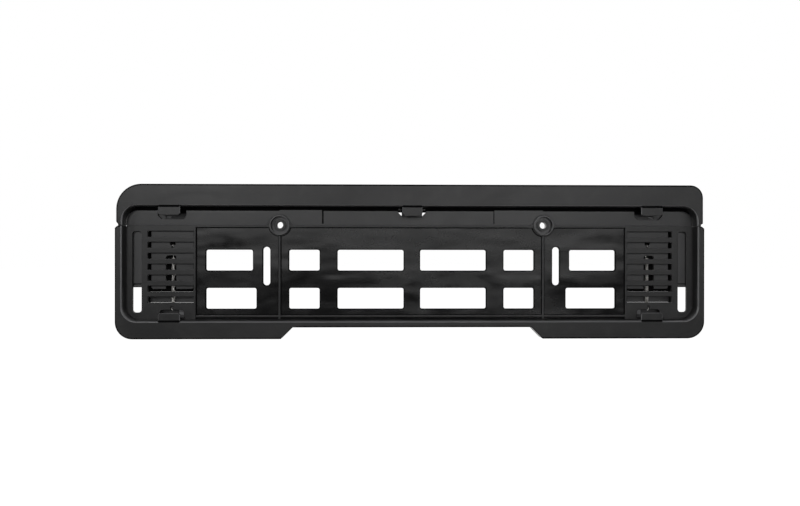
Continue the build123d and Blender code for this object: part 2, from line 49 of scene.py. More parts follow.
# Camera, on the image of 800 by 506 pixels
IMAGE_WIDTH = 800
CAMERA_PLACE = (-0.0222, -0.575, -0.0256)
CAMERA_TURN = math.radians(1.13)
CAMERA_ROLL = math.radians(0.05)
FOCAL_PIXELS = 618.0
SENSOR = 36.0

# Rounding of the moulded edges; the window, outline and corner chamfers are painted dark as lines of shade
EDGE_ROUND = 0.0003
WINDOW_ROUND = 0.0009
OUTLINE_ROUND = 0.0006
CORNER_FILL = 0.0006
EDGE_ANGLE = math.radians(60)
SHARP_ANGLE = math.radians(32)
ROUND_ANGLE = math.radians(50)
FLAT_ANGLE = math.radians(0.6)
MERGE_DISTANCE = 2e-6
CUT_SLACK = 1e-6
MOULDING_WEIGHT = 60
BACKING_WEIGHT = 50

# Columns of holes across the part: flat faces are parted there, so that none of them runs round a hole
HOLE_COLUMNS = (0.0, 0.03805, 0.0989, 0.1213, 0.1334, 0.167, 0.2206, 0.25055)

# Which way a face looks, from its normal
FRONT_FACING = -0.99
BACK_FACING = 0.9
LEANING = -0.3
TURNED = 0.3
CREST_TURN = -0.3
RIDGE_TURN = -0.2

# Polish of the faces: the window panels came from a polished part of the mould
PANEL_POLISH = 1.0
CREST_POLISH = 0.5
RIDGE_POLISH = 0.4

# Painted light and shade: lightness of the faces against the plain moulding. The low values are painted
# shadow in gaps, slits, grooves and corners, and faces below the limit get the near-black material; values
# above 1 are painted light on faces and painted highlights on edges, crests, ridge and beads
SLIT_SHADE = 0.05
GAP_SHADE = 0.1
PAINTED_SHADOW_LIMIT = 0.2
LOW_CREST_SHADE = 0.5
PLAIN_SHADE = 1.0
BOSS_WALL_SHADE = 1.6
LEG_SHADE = 1.7
STRIP_SHADE = 1.9
FOOT_SHADE = 2.0
# painted highlight on the rounded edges that face up or to the left
EDGE_HIGHLIGHT_SHADE = 2.5
PRONG_SHADE = 3.0
BOSS_SHADE = 5.0
RIDGE_SHADE = 5.0
# painted highlight on the crests and on the beads
CREST_SHADE = 12.0

# Depths and places that part the mould's polish and the painted light and shade of its faces
DEPTH_SLACK = 0.00004
PANEL_FRONT = -0.0054
GROOVE_FLOOR = -0.0147
OUTER_CHAMFER = -0.01505
CREST_BACK = -0.0139
RIDGE_BEVEL = -0.00725
STRIP_FRONT = -0.0069
STRIP_TOP = 0.0125
LEG_FRONT = -0.0050
LEG_TOP = 0.0105
CHANNEL_TOP = 0.0166
REAR_BAR_FRONT = -0.0016
LEG_FOOT = -0.063
CAGE_X = 0.187
BOSS_X = 0.1213
BOSS_REACH = 0.0105
BOSS_FRONT = -0.0087
BOSS_FLOOR = -0.0044
RIM_FRONT = -0.0150
MIDDLE_Z = -0.0335
PRONG_X = 0.243
BEAD_X = 0.22205
BEAD_HALF = 0.003
BEAD_LOW = 0.0055
BEAD_HIGH = 0.0085
SLITS = (-0.0818, 0.0756)
SLIT_REACH = 0.0045

# Backing plates beside the lower tabs: X limits on the right side, Z limits with the painted lightness of
# each row (the upper row painted light as a lit patch), and depths
BACKING_X = (0.20815, 0.2143)
BACKING_ROWS = ((-0.0872, -0.0826, 5.0), (-0.0826, -0.0762, 14.0))
BACKING_Y = (-0.00155, -0.0001)

# Springs
SPRING_X = 0.21905
SPRING_Y = -0.0035
WIRE_RADIUS = 0.0003
COIL_RADIUS = 0.0013
COIL_LOW = -0.0718
COIL_HIGH = -0.0300
COIL_TURNS = 67.5
STEPS_PER_TURN = 22
WIRE_SIDES = 9
WIRE_BEND = 0.00045
TOP_HOOK_Z = -0.018914
FOOT_HOOK_Z = -0.077426
FOOT_RADIUS = 0.001125
HOOK_RETURN = 0.0016
BEND_STEPS = 6
HOOK_STEPS = 14
WIRE_MERGE = 1e-7

# Plastics: tone, roughness of the satin faces, and how far the frame's pattern is moved
BASE_TONE = 0.016
FRAME_TONE = 0.017
SATIN = 0.42
FRAME_SHIFT = 0.37

# Studio
FLOOR_Z = -0.55
FLOOR_FRONT = -0.25
FLOOR_HALF = 12.0
GREY_STUDIO = 0.05
NEAR_CLIP = 0.01

# Lamps: name, place, point that it looks at, width, height and power in watts
LAMPS = (
    ("key_lamp", (-0.58, -1.2, 0.46), (-0.05, 0.0, -0.03), 0.2, 0.2, 3.5),
    ("key_panel", (0.52, -1.2, 0.50), (0.1, 0.0, -0.03), 0.5, 0.16, 2.2),
    ("left_strip", (-1.25, -0.85, 0.05), (0.2, 0.0, -0.03), 0.25, 1.0, 2.6),
    ("right_strip", (1.25, -0.85, 0.05), (-0.2, 0.0, -0.03), 0.25, 1.0, 2.6),
    ("rear_panel", (0.0, 1.3, 0.45), (0.0, 0.0, -0.03), 1.8, 0.6, 5.0),
    ("front_panel", (0.05, -1.8, 0.14), (0.05, 0.0, 0.14), 2.2, 0.32, 2.6),
    ("window_glint", (0.25, -1.8, 0.05), (0.25, 0.0, 0.05), 0.35, 0.12, 2.2),
)


# Node helpers

def add_node(tree, kind, inputs=None, **settings):
    """Places a node, sets its properties and fills or links its inputs."""
    made = tree.nodes.new(kind)
    for key, value in settings.items():
        setattr(made, key, value)
    for key, value in (inputs or {}).items():
        if isinstance(value, bpy.types.NodeSocket):
            tree.links.new(value, made.inputs[key])
        else:
            made.inputs[key].default_value = value
    return made


def effect_group(name, inputs, outputs):
    """Starts a shader node group with named sockets."""
    tree = bpy.data.node_groups.new(name, "ShaderNodeTree")
    for label, kind, value in inputs:
        socket = tree.interface.new_socket(label, in_out="INPUT", socket_type=kind)
        if value is not None:
            socket.default_value = value
    for label in outputs:
        tree.interface.new_socket(label, in_out="OUTPUT", socket_type="NodeSocketFloat")
    return tree, tree.nodes.new("NodeGroupInput"), tree.nodes.new("NodeGroupOutput")


def spark_grain():
    """Fine grain of a spark-eroded mould face, as a height."""
    tree, given, result = effect_group(
        "spark_grain",
        [("Vector", "NodeSocketVector", None), ("Grains per metre", "NodeSocketFloat", 1500.0)],
        ["Height"],
    )
    coarse = add_node(
        tree,
        "ShaderNodeTexNoise",
        {
            "Vector": given.outputs["Vector"],
            "Scale": given.outputs["Grains per metre"],
            "Detail": 3.0,
            "Roughness": 0.6,
        },
    )
    pits = add_node(
        tree,
        "ShaderNodeTexVoronoi",
        {"Vector": given.outputs["Vector"], "Scale": given.outputs["Grains per metre"], "Randomness": 1.0},
        feature="SMOOTH_F1",
    )
    mixed = add_node(
        tree,
        "ShaderNodeMath",
        {0: pits.outputs["Distance"], 1: 0.5, 2: coarse.outputs["Fac"]},
        operation="MULTIPLY_ADD",
    )
    tree.links.new(mixed.outputs[0], result.inputs["Height"])
    return tree


def hand_smudges():
    """Cloudy marks left by handling, drawn out along the length of the part."""
    tree, given, result = effect_group(
        "hand_smudges",
        [
            ("Vector", "NodeSocketVector", None),
            ("Patches per metre", "NodeSocketFloat", 22.0),
            ("Cover", "NodeSocketFloat", 0.5),
        ],
        ["Mask"],
    )
    drawn_out = add_node(
        tree, "ShaderNodeMapping", {"Vector": given.outputs["Vector"], "Scale": (0.55, 1.0, 1.25)}
    )
    clouds = add_node(
        tree,
        "ShaderNodeTexNoise",
        {
            "Vector": drawn_out.outputs[0],
            "Scale": given.outputs["Patches per metre"],
            "Detail": 5.0,
            "Roughness": 0.62,
            "Distortion": 0.9,
        },
    )
    upper = add_node(tree, "ShaderNodeMath", {0: 1.0, 1: given.outputs["Cover"]}, operation="SUBTRACT")
    lower = add_node(tree, "ShaderNodeMath", {0: upper.outputs[0], 1: 0.28}, operation="SUBTRACT")
    mask = add_node(
        tree,
        "ShaderNodeMapRange",
        {"Value": clouds.outputs["Fac"], "From Min": lower.outputs[0], "From Max": upper.outputs[0]},
        interpolation_type="SMOOTHSTEP",
    )
    tree.links.new(mask.outputs["Result"], result.inputs["Mask"])
    return tree


def hair_scratches():
    """Thin scratches from sliding plates, nearly level, in short strokes."""
    tree, given, result = effect_group(
        "hair_scratches",
        [("Vector", "NodeSocketVector", None), ("Tilt", "NodeSocketVector", (0.0, 0.2, 0.0))],
        ["Mask"],
    )
    turned = add_node(
        tree,
        "ShaderNodeMapping",
        {
            "Vector": given.outputs["Vector"],
            "Rotation": given.outputs["Tilt"],
            "Scale": (18.0, 400.0, 1500.0),
        },
    )
    strokes = add_node(
        tree,
        "ShaderNodeTexNoise",
        {"Vector": turned.outputs[0], "Scale": 1.0, "Detail": 1.0, "Roughness": 0.4},
    )
    thin = add_node(
        tree,
        "ShaderNodeMapRange",
        {"Value": strokes.outputs["Fac"], "From Min": 0.70, "From Max": 0.78},
        interpolation_type="SMOOTHSTEP",
    )
    patches = add_node(
        tree, "ShaderNodeTexNoise", {"Vector": given.outputs["Vector"], "Scale": 26.0, "Detail": 2.0}
    )
    where = add_node(
        tree,
        "ShaderNodeMapRange",
        {"Value": patches.outputs["Fac"], "From Min": 0.46, "From Max": 0.62},
        interpolation_type="SMOOTHSTEP",
    )
    kept = add_node(
        tree, "ShaderNodeMath", {0: thin.outputs["Result"], 1: where.outputs["Result"]}, operation="MULTIPLY"
    )
    tree.links.new(kept.outputs[0], result.inputs["Mask"])
    return tree


def settled_dust():
    """Specks of dust, thicker on faces that look up."""
    tree, given, result = effect_group(
        "settled_dust",
        [("Vector", "NodeSocketVector", None), ("Amount", "NodeSocketFloat", 0.5)],
        ["Mask"],
    )
    facing = add_node(tree, "ShaderNodeNewGeometry")
    parts = add_node(tree, "ShaderNodeSeparateXYZ", {0: facing.outputs["Normal"]})
    upward = add_node(
        tree,
        "ShaderNodeMapRange",
        {"Value": parts.outputs["Z"], "From Min": -0.2, "From Max": 0.9, "To Min": 0.12, "To Max": 1.0},
    )
    specks = add_node(
        tree,
        "ShaderNodeTexVoronoi",
        {"Vector": given.outputs["Vector"], "Scale": 650.0, "Randomness": 1.0},
    )
    small = add_node(
        tree, "ShaderNodeMapRange", {"Value": specks.outputs["Distance"], "From Min": 0.16, "From Max": 0.05}
    )
    drifts = add_node(
        tree, "ShaderNodeTexNoise", {"Vector": given.outputs["Vector"], "Scale": 60.0, "Detail": 4.0}
    )
    film = add_node(
        tree,
        "ShaderNodeMapRange",
        {"Value": drifts.outputs["Fac"], "From Min": 0.45, "From Max": 0.75, "To Max": 0.35},
        interpolation_type="SMOOTHSTEP",
    )
    both = add_node(
        tree, "ShaderNodeMath", {0: small.outputs["Result"], 1: film.outputs["Result"]}, operation="MAXIMUM"
    )
    lying = add_node(
        tree, "ShaderNodeMath", {0: both.outputs[0], 1: upward.outputs["Result"]}, operation="MULTIPLY"
    )
    scaled = add_node(
        tree, "ShaderNodeMath", {0: lying.outputs[0], 1: given.outputs["Amount"]}, operation="MULTIPLY"
    )
    tree.links.new(scaled.outputs[0], result.inputs["Mask"])
    return tree


GRAIN = spark_grain()
SMUDGES = hand_smudges()
SCRATCHES = hair_scratches()
DUST = settled_dust()


def place_group(tree, group, inputs):
    """Places a shader group in a material."""
    return add_node(tree, "ShaderNodeGroup", inputs, node_tree=group)


def blend_colour(tree, share, below, above):
    """Mixes two colours by a share and returns the result's socket."""
    mixed = add_node(tree, "ShaderNodeMix", data_type="RGBA")
    tree.links.new(share, mixed.inputs["Factor"])
    for name, value in (("A", below), ("B", above)):
        socket = [s for s in mixed.inputs if s.name == name and s.type == "RGBA"][0]
        if isinstance(value, bpy.types.NodeSocket):
            tree.links.new(value, socket)
        else:
            socket.default_value = value
    return [s for s in mixed.outputs if s.type == "RGBA"][0]


def weigh(tree, share, low, high):
    """Turns a mask into a number between two values."""
    made = add_node(tree, "ShaderNodeMapRange", {"Value": share, "To Min": low, "To Max": high})
    return made.outputs["Result"]


def new_material(name):
    """Starts a node material and returns it with its tree and its shader."""
    made = bpy.data.materials.new(name)
    made.use_nodes = True
    tree = made.node_tree
    tree.nodes.clear()
    shader = add_node(tree, "ShaderNodeBsdfPrincipled")
    result = add_node(tree, "ShaderNodeOutputMaterial")
    tree.links.new(shader.outputs["BSDF"], result.inputs["Surface"])
    return made, tree, shader


def black_moulding(name, tone, satin, shift):
    """Black moulded plastic: satin grain, polished panels, smudges, scratches and dust, with painted light
    and shade from each face's shade value, and painted highlights on the lit edges broken up by a wear
    pattern.
    """
    made, tree, shader = new_material(name)
    spot = add_node(tree, "ShaderNodeTexCoord")
    shifted = add_node(
        tree, "ShaderNodeMapping", {"Vector": spot.outputs["Object"], "Location": (shift, 0.0, shift)}
    )
    place = shifted.outputs[0]
    polished = add_node(tree, "ShaderNodeAttribute", attribute_name="polished").outputs["Fac"]
    edge_highlight = add_node(tree, "ShaderNodeAttribute", attribute_name="edge_highlight").outputs["Fac"]
    lightness = add_node(tree, "ShaderNodeAttribute", attribute_name="shade")
    shade = lightness.outputs["Vector"]
    shade_level = lightness.outputs["Fac"]

    smudges = place_group(tree, SMUDGES, {"Vector": place, "Patches per metre": 22.0, "Cover": 0.42})
    scratches = place_group(tree, SCRATCHES, {"Vector": place})
    dust = place_group(tree, DUST, {"Vector": place, "Amount": 0.30})
    grain = place_group(tree, GRAIN, {"Vector": place, "Grains per metre": 1600.0})

    flow = add_node(
        tree, "ShaderNodeTexNoise", {"Vector": place, "Scale": 9.0, "Detail": 3.0, "Distortion": 1.4}
    )
    deep = (tone * 0.78, tone * 0.78, tone * 0.80, 1.0)
    full = (tone * 1.18, tone * 1.18, tone * 1.22, 1.0)
    body = blend_colour(tree, flow.outputs["Fac"], deep, full)
    body = blend_colour(tree, polished, body, (tone * 0.45, tone * 0.45, tone * 0.47, 1.0))
    # painted light and shade: the colour is scaled by each face's painted lightness
    body = add_node(tree, "ShaderNodeVectorMath", {0: body, 1: shade}, operation="MULTIPLY").outputs[0]
    # painted highlight on the edges that face up or left, broken up by a wear pattern
    wear_noise = add_node(tree, "ShaderNodeTexNoise", {"Vector": place, "Scale": 140.0, "Detail": 4.0})
    wear = add_node(
        tree,
        "ShaderNodeMapRange",
        {"Value": wear_noise.outputs["Fac"], "From Min": 0.38, "From Max": 0.66, "To Max": 0.6},
    )
    worn_highlight = add_node(
        tree, "ShaderNodeMath", {0: wear.outputs["Result"], 1: edge_highlight}, operation="MULTIPLY"
    ).outputs[0]
    body = blend_colour(tree, worn_highlight, body, (tone * 2.6, tone * 2.6, tone * 2.6, 1.0))
    scratched = weigh(tree, scratches.outputs["Mask"], 0.0, 0.25)
    body = blend_colour(tree, scratched, body, (0.06, 0.06, 0.06, 1.0))
    body = blend_colour(tree, dust.outputs["Mask"], body, (0.22, 0.21, 0.20, 1.0))
    tree.links.new(body, shader.inputs["Base Color"])

    satin_level = weigh(tree, smudges.outputs["Mask"], satin + 0.05, satin - 0.05)
    polish_level = weigh(tree, smudges.outputs["Mask"], 0.12, 0.28)
    level = add_node(
        tree, "ShaderNodeMix", {"Factor": polished, "A": satin_level, "B": polish_level}, data_type="FLOAT"
    )
    smoother = weigh(tree, worn_highlight, 0.0, -0.12)
    rougher = weigh(tree, dust.outputs["Mask"], 0.0, 0.4)
    duller = weigh(tree, shade_level, 0.5, 0.0)
    total = level.outputs[0]
    for change in (smoother, duller, rougher):
        sum_node = add_node(tree, "ShaderNodeMath", {0: total, 1: change}, operation="ADD", use_clamp=True)
        total = sum_node.outputs[0]
    tree.links.new(total, shader.inputs["Roughness"])

    bump_level = weigh(tree, polished, 1.0, 0.12)
    height = add_node(
        tree, "ShaderNodeMath", {0: grain.outputs["Height"], 1: bump_level}, operation="MULTIPLY"
    )
    drawn_out = add_node(tree, "ShaderNodeMapping", {"Vector": place, "Scale": (14.0, 20.0, 34.0)})
    sinks = add_node(
        tree, "ShaderNodeTexNoise", {"Vector": drawn_out.outputs[0], "Scale": 1.0, "Detail": 2.0}
    )
    wave = add_node(tree, "ShaderNodeMath", {0: sinks.outputs["Fac"], 1: polished}, operation="MULTIPLY")
    waves = add_node(tree, "ShaderNodeBump", {"Strength": 1.0, "Distance": 0.0016, "Height": wave.outputs[0]})
    bump = add_node(
        tree,
        "ShaderNodeBump",
        {
            "Strength": 0.28,
            "Distance": 0.00012,
            "Height": height.outputs[0],
            "Normal": waves.outputs["Normal"],
        },
    )
    tree.links.new(bump.outputs["Normal"], shader.inputs["Normal"])
    shader.inputs["IOR"].default_value = 1.5
    return made


def painted_shadow_plastic():
    """Dull near-black plastic painted in gaps, slits, inner corners and outlines as painted shadow."""
    made, tree, shader = new_material("painted_shadow_plastic")
    place = add_node(tree, "ShaderNodeTexCoord").outputs["Object"]
    grain = place_group(tree, GRAIN, {"Vector": place, "Grains per metre": 1600.0})
    stain = add_node(
        tree, "ShaderNodeTexNoise", {"Vector": place, "Scale": 180.0, "Detail": 3.0}
    ).outputs["Fac"]
    colour = blend_colour(tree, stain, (0.0012, 0.0012, 0.0013, 1.0), (0.0045, 0.0045, 0.0048, 1.0))
    tree.links.new(colour, shader.inputs["Base Color"])
    tree.links.new(weigh(tree, stain, 0.95, 0.7), shader.inputs["Roughness"])
    bump = add_node(
        tree, "ShaderNodeBump", {"Strength": 0.3, "Distance": 0.00012, "Height": grain.outputs["Height"]}
    )
    tree.links.new(bump.outputs["Normal"], shader.inputs["Normal"])
    shader.inputs["Specular IOR Level"].default_value = 0.08
    return made


def spring_wire():
    """Bright drawn spring wire, dulled in patches."""
    made, tree, shader = new_material("spring_wire")
    place = add_node(tree, "ShaderNodeTexCoord").outputs["Object"]
    stain = add_node(tree, "ShaderNodeTexNoise", {"Vector": place, "Scale": 420.0, "Detail": 4.0})
    dull = add_node(
        tree, "ShaderNodeMapRange", {"Value": stain.outputs["Fac"], "From Min": 0.42, "From Max": 0.68}
    ).outputs["Result"]
    colour = blend_colour(tree, dull, (0.66, 0.65, 0.63, 1.0), (0.36, 0.35, 0.33, 1.0))
    tree.links.new(colour, shader.inputs["Base Color"])
    tree.links.new(weigh(tree, dull, 0.34, 0.55), shader.inputs["Roughness"])
    streaks = add_node(tree, "ShaderNodeTexNoise", {"Vector": place, "Scale": 5200.0, "Detail": 2.0})
    bump = add_node(
        tree, "ShaderNodeBump", {"Strength": 0.15, "Distance": 0.00002, "Height": streaks.outputs["Fac"]}
    )
    tree.links.new(bump.outputs["Normal"], shader.inputs["Normal"])
    shader.inputs["Metallic"].default_value = 1.0
    return made


# Mouldings: merged copies of the CAD solids with their moulded edges rounded

def mould_finish(face):
    """Returns how polished a face is, and the painted light and shade that set how light it is against the
    rest of the moulding.
    """
    middle = face.calc_center_median()
    across = abs(middle.x)
    normal = face.normal
    front = normal.y < FRONT_FACING
    leaning = not front and normal.y < LEANING
    upright = abs(normal.y) < TURNED

    def at_depth(depth):
        return abs(middle.y - depth) < DEPTH_SLACK

    in_slit = any(abs(middle.x - x) < SLIT_REACH for x in SLITS) and 0.0 < middle.z < STRIP_TOP
    if normal.y > BACK_FACING:
        return 0.0, PLAIN_SHADE
    if front and at_depth(PANEL_FRONT):
        return PANEL_POLISH, PLAIN_SHADE
    # painted shadow inside the slits
    if in_slit and middle.y > STRIP_FRONT + DEPTH_SLACK:
        return 0.0, SLIT_SHADE
    # painted shadow in the tab grooves
    if front and at_depth(GROOVE_FLOOR):
        return 0.0, GAP_SHADE
    # painted light on the boss dish and its front
    if front and (at_depth(BOSS_FRONT) or at_depth(BOSS_FLOOR)):
        return 0.0, BOSS_SHADE
    # painted shadow on the boss walls that face down and right, away from the light; painted light on the
    # other boss walls
    if upright and math.hypot(across - BOSS_X, middle.z) < BOSS_REACH:
        return 0.0, GAP_SHADE if normal.x - normal.z > TURNED else BOSS_WALL_SHADE
    # painted dark outline on the outer chamfer
    if leaning and at_depth(OUTER_CHAMFER):
        return 0.0, GAP_SHADE
    # painted highlight on the crests that face up, painted shade on those that face down
    if leaning and middle.y < CREST_BACK:
        return (CREST_POLISH, CREST_SHADE) if normal.z > CREST_TURN else (0.0, LOW_CREST_SHADE)
    # painted highlight on the ridge's upper bevel, painted shadow on its lower one
    if leaning and at_depth(RIDGE_BEVEL):
        return (RIDGE_POLISH, RIDGE_SHADE) if normal.z > RIDGE_TURN else (0.0, GAP_SHADE)
    # in the cages: painted shadow on the rear bars in the fork gaps, painted light on the rear bars below the
    # legs, and on the legs and prongs
    if across > CAGE_X and middle.z < LEG_TOP:
        if middle.y > REAR_BAR_FRONT - DEPTH_SLACK:
            return 0.0, GAP_SHADE if middle.z > LEG_FOOT else FOOT_SHADE
        if front and at_depth(LEG_FRONT):
            return 0.0, PRONG_SHADE if across > PRONG_X else LEG_SHADE
    # painted highlight on the beads under the top tabs
    if abs(across - BEAD_X) < BEAD_HALF and BEAD_LOW < middle.z < BEAD_HIGH:
        if STRIP_FRONT + DEPTH_SLACK < middle.y < LEG_FRONT - DEPTH_SLACK:
            return 0.0, CREST_SHADE
    # painted shadow on the flange in the channel under the top bar
    if LEG_TOP < middle.z < CHANNEL_TOP and middle.y > LEG_FRONT - DEPTH_SLACK:
        return 0.0, GAP_SHADE
    # painted light on the strip
    if front and at_depth(STRIP_FRONT):
        return 0.0, STRIP_SHADE
    return 0.0, PLAIN_SHADE


def on_outline(edge):
    """Tells whether an edge of the front looks away from the middle of the part."""
    middle = (edge.verts[0].co + edge.verts[1].co) / 2
    away = Vector((middle.x, 0.0, middle.z - MIDDLE_Z))
    return middle.y < RIM_FRONT and all(
        f.normal.y < FRONT_FACING or f.normal.dot(away) > 0.0 for f in edge.link_faces
    )


def front_edges(bm, shade):
    """Returns the outer edges round the faces that look to the front, except those of dark faces."""
    return [
        e for e in bm.edges
        if e.is_convex
        and e.calc_face_angle(0.0) > EDGE_ANGLE
        and any(f.normal.y < FRONT_FACING for f in e.link_faces)
        and all(f[shade] > LOW_CREST_SHADE for f in e.link_faces)
    ]


def round_edges(bm, edges, offset, segments):
    """Bevels edges and returns the new faces."""
    made = bmesh.ops.bevel(
        bm,
        geom=edges,
        offset=offset,
        offset_type="OFFSET",
        affect="EDGES",
        segments=segments,
        profile=0.5,
        material=-1,
        clamp_overlap=False,
    )
    return made["faces"]


def shadow_chamfer(bm, layers, edges, offset, lightness):
    """Chamfers edges, or fills inner corners, with dull faces of painted shade that have crisp edges."""
    polished, shade = layers
    for face in round_edges(bm, edges, offset, 1):
        face[polished] = 0.0
        face[shade] = lightness
        for edge in face.edges:
            edge.smooth = False


def part_faces(bm, place, direction):
    """Cuts all faces along a plane, and marks the cut so that flat faces beside it stay apart."""
    whole = list(bm.verts) + list(bm.edges) + list(bm.faces)
    cut = bmesh.ops.bisect_plane(bm, geom=whole, dist=CUT_SLACK, plane_co=place, plane_no=direction)
    for edge in cut["geom_cut"]:
        if isinstance(edge, bmesh.types.BMEdge):
            edge.seam = True


def make_piece(bm, name, materials):
    """Turns a bmesh into a piece with these materials."""
    mesh = bpy.data.meshes.new(name)
    bm.to_mesh(mesh)
    bm.free()
    for material in materials:
        mesh.materials.append(material)
    piece = bpy.data.objects.new(name, mesh)
    bpy.context.scene.collection.objects.link(piece)
    return piece


def flatten_faces(piece, weight):
    """Keeps the large faces of a piece flat beside its rounded edges."""
    flat = piece.modifiers.new("flat_faces", "WEIGHTED_NORMAL")
    flat.mode = "FACE_AREA"
    flat.keep_sharp = True
    flat.weight = weight


def rounded_moulding(node_name, body_name, material, shadow_material):
    """Copies a CAD moulding, rounds its edges, marks the polished panels, and paints light and shade: painted
    highlights on the edges that face up or left, painted shadow on the other edges, in the inner corners, on
    the outline and round the windows.
    """
    bm = bmesh.new()
    bm.from_mesh(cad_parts[node_name].data)
    bmesh.ops.remove_doubles(bm, verts=bm.verts, dist=MERGE_DISTANCE)
    for column in HOLE_COLUMNS:
        for x in {column, -column}:
            part_faces(bm, (x, 0, 0), (1, 0, 0))
    part_faces(bm, (0, 0, LEG_TOP), (0, 0, 1))
    bmesh.ops.dissolve_limit(bm, angle_limit=FLAT_ANGLE, verts=bm.verts, edges=bm.edges, delimit={"SEAM"})
    polished = bm.faces.layers.float.new("polished")
    edge_highlight = bm.faces.layers.float.new("edge_highlight")
    shade = bm.faces.layers.float.new("shade")
    for face in bm.faces:
        face[polished], face[shade] = mould_finish(face)
    for edge in bm.edges:
        edge.smooth = edge.calc_face_angle(0.0) < SHARP_ANGLE

    def beside_panel(edge):
        return any(f[polished] == PANEL_POLISH for f in edge.link_faces)

    # painted shadow lines: the inner corners beside the panels are filled with black faces
    corners = [
        e for e in bm.edges
        if not e.is_convex and e.calc_face_angle(0.0) > EDGE_ANGLE and beside_panel(e)
    ]
    shadow_chamfer(bm, (polished, shade), corners, CORNER_FILL, SLIT_SHADE)
    # painted dark outline along the outer chamfers
    outline = [
        e for e in bm.edges
        if on_outline(e)
        and sorted(f.normal.y < FRONT_FACING for f in e.link_faces) == [False, True]
        and min(f[shade] for f in e.link_faces) < PAINTED_SHADOW_LIMIT
    ]
    shadow_chamfer(bm, (polished, shade), outline, OUTLINE_ROUND, GAP_SHADE)
    # painted dark lines round the windows and the outline
    shadow_edges = [e for e in front_edges(bm, shade) if on_outline(e) or beside_panel(e)]
    shadow_chamfer(bm, (polished, shade), shadow_edges, WINDOW_ROUND, GAP_SHADE)
    # painted highlight on the rounded edges that face up or left, painted shade on the others
    for face in round_edges(bm, front_edges(bm, shade), EDGE_ROUND, 2):
        lit = face.normal.z > TURNED or face.normal.x < -TURNED
        face[polished] = 0.0
        face[edge_highlight] = 1.0 if lit else 0.0
        face[shade] = EDGE_HIGHLIGHT_SHADE if lit else GAP_SHADE
        for edge in face.edges:
            edge.smooth = edge.calc_face_angle(math.pi) < ROUND_ANGLE
    bmesh.ops.dissolve_degenerate(bm, dist=MERGE_DISTANCE, edges=bm.edges)
    for face in bm.faces:
        face.smooth = True
        # faces painted as shadow get the near-black material
        face.material_index = 1 if face[shade] < PAINTED_SHADOW_LIMIT else 0
    piece = make_piece(bm, node_name + "_moulding", [material, shadow_material])
    flatten_faces(piece, MOULDING_WEIGHT)
    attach(piece, body_name)
    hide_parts(node_name)


def backing_plates(material):
    """Adds the backing plates beside the lower tabs, which close most of the opening behind each tab."""
    bm = bmesh.new()
    shade = bm.faces.layers.float.new("shade")
    depth = BACKING_Y[1] - BACKING_Y[0]
    for side in (-1, 1):
        for low, high, lightness in BACKING_ROWS:
            size = Matrix.Diagonal((BACKING_X[1] - BACKING_X[0], depth, high - low, 1.0))
            middle = (side * sum(BACKING_X) / 2, sum(BACKING_Y) / 2, (low + high) / 2)
            made = bmesh.ops.create_cube(bm, size=1.0, matrix=Matrix.Translation(middle) @ size)
            for face in {f for v in made["verts"] for f in v.link_faces}:
                # each row is painted with its lightness: painted light on the upper row
                face[shade] = lightness
    round_edges(bm, list(bm.edges), EDGE_ROUND / 2, 2)
    for face in bm.faces:
        face.smooth = True
    piece = make_piece(bm, "tab_backing", [material])
    flatten_faces(piece, BACKING_WEIGHT)
    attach(piece, "base_body")


# Springs: one continuous wire with a close-wound coil and open hooks

def bend_wire(bm, ring, centre, axis, angle, steps, rise=0.0):
    """Carries the last ring of a wire round a bend and returns the new last ring."""
    made = bmesh.ops.spin(
        bm,
        geom=ring,
        cent=centre,
        axis=axis,
        dvec=(0.0, 0.0, rise / steps),
        angle=angle,
        steps=steps,
        use_merge=False,
        use_duplicate=False,
    )
    return [e for e in made["geom_last"] if isinstance(e, bmesh.types.BMEdge)]


def run_wire(bm, ring, offset):
    """Carries the last ring of a wire straight on and returns the new last ring."""
    made = bmesh.ops.extrude_edge_only(bm, edges=ring)
    verts = [g for g in made["geom"] if isinstance(g, bmesh.types.BMVert)]
    bmesh.ops.translate(bm, verts=verts, vec=offset)
    return [g for g in made["geom"] if isinstance(g, bmesh.types.BMEdge) and all(v in verts for v in g.verts)]


def ring_middle(ring):
    """Returns the middle of a ring of edges."""
    places = [v.co for e in ring for v in e.verts]
    return sum(places, Vector()) / len(places)


